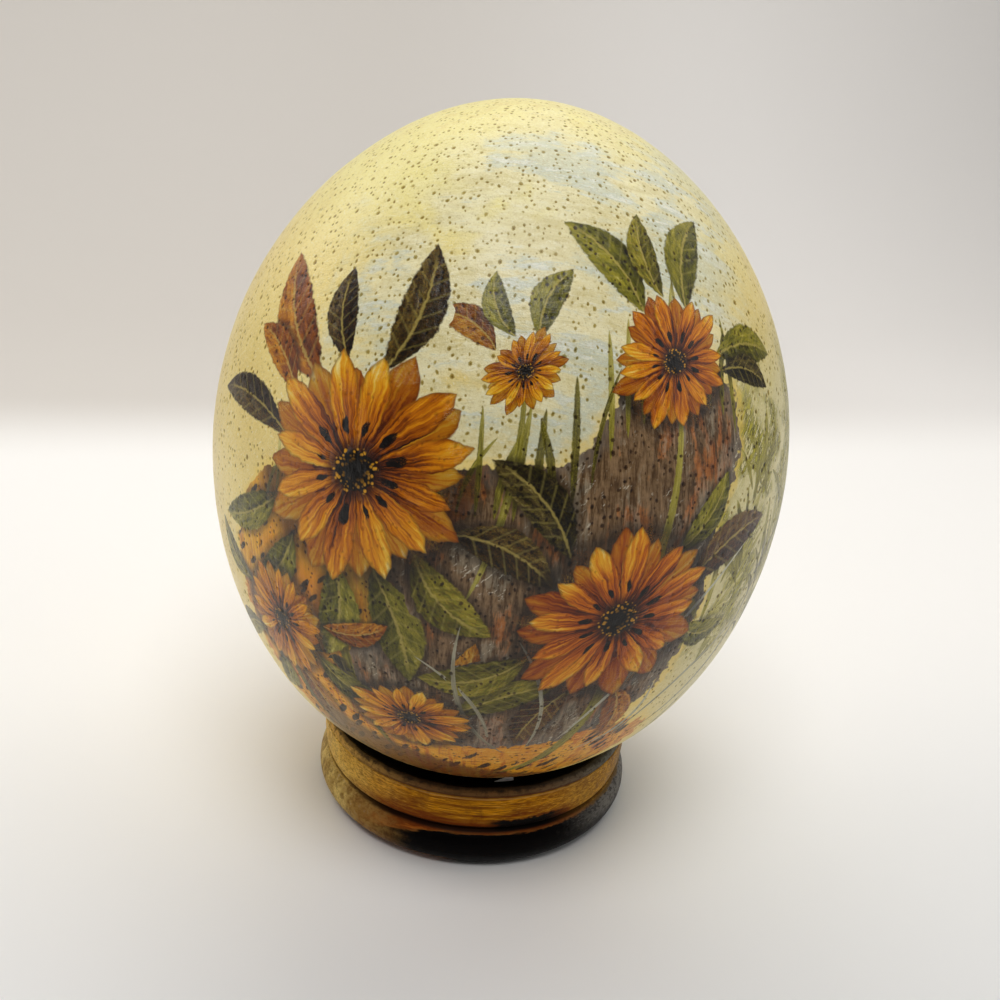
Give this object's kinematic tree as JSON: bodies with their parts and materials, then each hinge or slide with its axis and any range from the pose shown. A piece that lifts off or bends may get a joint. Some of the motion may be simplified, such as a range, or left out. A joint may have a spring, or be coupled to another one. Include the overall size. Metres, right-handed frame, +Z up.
{
  "type": "painted ostrich egg on a ring stand",
  "caption": "Painted and varnished ostrich egg resting, blunt end down, on a low turned hardwood ring stand.",
  "frame": {"origin": "on the stand's axis, at the surface that the stand rests on", "axes": "+Z up along the stand's axis; the egg's long axis leans 1.85 degrees from it towards +X, and the painted front faces -Y"},
  "size_m": [0.1299, 0.13, 0.1675],
  "materials": {
    "painted_shell": "satin",
    "stained_wood": "satin"
  },
  "bodies": {
    "root": {"egg": "painted_shell", "stand": "stained_wood"}
  },
  "joints": []
}
